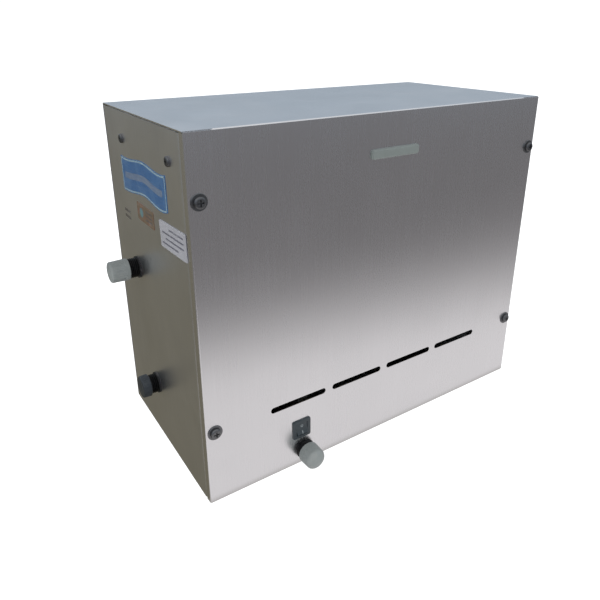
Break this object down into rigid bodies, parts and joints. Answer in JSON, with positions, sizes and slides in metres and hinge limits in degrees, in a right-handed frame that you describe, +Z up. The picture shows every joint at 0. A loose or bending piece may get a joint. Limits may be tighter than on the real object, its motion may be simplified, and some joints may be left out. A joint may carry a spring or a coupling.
{
  "type": "gas pool heater",
  "caption": "Wall-hung gas pool heater in a folded stainless casing with air slots, a rocker switch, capped water and gas ports, burner, finned exchanger, blower and rear flue.",
  "frame": {"origin": "centre of the casing's underside", "axes": "+X to the right and +Y to the back seen from the front, +Z up"},
  "size_m": [0.4797, 0.2725, 0.36],
  "materials": {
    "polished_steel": "polished sheet with a fine grain",
    "satin_steel": "satin sheet",
    "galvanised": "zinc coated sheet",
    "zinc_screw": "bright plated",
    "badge": "satin pale grey",
    "banner": "printed blue film",
    "service": "printed orange film",
    "plate": "printed silver foil",
    "dark_plastic": "fine moulded",
    "black_plastic": "moulded nylon",
    "pale_cap": "moulded polythene",
    "dark_cap": "moulded polythene",
    "rubber": "smooth",
    "copper": "drawn copper",
    "brass": "machined",
    "cast": "die cast",
    "white_board": "ceramic fibre board",
    "ceramic": "glazed alumina",
    "blue_coil": "potted coil",
    "grey_plastic": "moulded ABS",
    "green_board": "solder mask",
    "components": "moulded parts",
    "laminations": "varnished laminations",
    "lead": "silicone sleeving",
    "motor": "black enamel"
  },
  "bodies": {
    "casing": {"base_tray": "galvanised", "left_side_panel": "polished_steel", "right_side_panel": "polished_steel", "back_panel": "satin_steel", "top_panel": "polished_steel", "casing_screws": "zinc_screw", "banner_label": "banner", "service_label": "service", "rating_plate": "plate", "side_port_nipples": "black_plastic", "side_port_seals": "rubber", "side_port_lock_nuts": "black_plastic", "inlet_pipe": "copper", "outlet_pipe": "copper", "flow_switch_body": "brass", "left_header": "copper", "right_header": "copper", "exchanger_tubes": "copper", "exchanger_fins": "copper", "exchanger_shell": "galvanised", "limit_thermostat": "ceramic", "combustion_chamber": "galvanised", "insulation_boards": "white_board", "spark_electrode": "ceramic", "flame_sensor": "ceramic", "burner_bars": "satin_steel", "burner_tray": "galvanised", "gas_valve": "cast", "valve_solenoids": "blue_coil", "valve_bracket": "galvanised", "gas_pipe": "copper", "gas_manifold": "brass", "gas_injectors": "brass", "flue_hood": "galvanised", "blower_housing": "cast", "blower_motor": "motor", "flue_transition": "galvanised", "flue_spigot": "satin_steel", "flue_gasket": "rubber", "control_box": "grey_plastic", "control_box_cover": "grey_plastic", "circuit_board": "green_board", "board_components": "components", "transformer": "laminations", "internal_leads": "lead", "cable_gland": "black_plastic"},
    "front_cover": {"front_panel": "polished_steel", "front_panel_screws": "zinc_screw", "front_screw_washers": "zinc_screw", "front_badge": "badge", "switch_housing": "dark_plastic", "inlet_nipple": "black_plastic", "inlet_seal": "rubber", "inlet_lock_nut": "black_plastic"},
    "rocker": {"switch_rocker": "dark_plastic"},
    "inlet_cap": {"water_inlet_cap": "pale_cap"},
    "outlet_cap": {"water_outlet_cap": "pale_cap"},
    "gas_cap": {"gas_inlet_cap": "dark_cap"},
    "blower_rotor": {"blower_wheel": "galvanised"},
    "paddle": {"flow_paddle": "brass"}
  },
  "joints": [
    {"name": "front_cover_slide", "type": "slide", "parent": "casing", "child": "front_cover", "axis": [0, -1, 0], "range_m": [0, 0.12]},
    {"name": "switch_rock", "type": "hinge", "parent": "front_cover", "child": "rocker", "pos_m": [-0.1097, -0.105, 0.0434], "axis": [1, 0, 0], "range_deg": [0, 20]},
    {"name": "inlet_cap_slide", "type": "slide", "parent": "front_cover", "child": "inlet_cap", "axis": [0, -1, 0], "range_m": [0, 0.04]},
    {"name": "outlet_cap_slide", "type": "slide", "parent": "casing", "child": "outlet_cap", "axis": [-1, 0, 0], "range_m": [0, 0.04]},
    {"name": "gas_cap_slide", "type": "slide", "parent": "casing", "child": "gas_cap", "axis": [-1, 0, 0], "range_m": [0, 0.03]},
    {"name": "blower_spin", "type": "hinge", "parent": "casing", "child": "blower_rotor", "pos_m": [0.022, 0.008, 0.307], "axis": [0, 0, 1], "continuous": true},
    {"name": "paddle_swing", "type": "hinge", "parent": "casing", "child": "paddle", "pos_m": [-0.1179, -0.045, 0.145], "axis": [0, -1, 0], "range_deg": [0, 25], "stiffness_Nm_per_rad": 0.002, "springref_deg": -17.19}
  ]
}
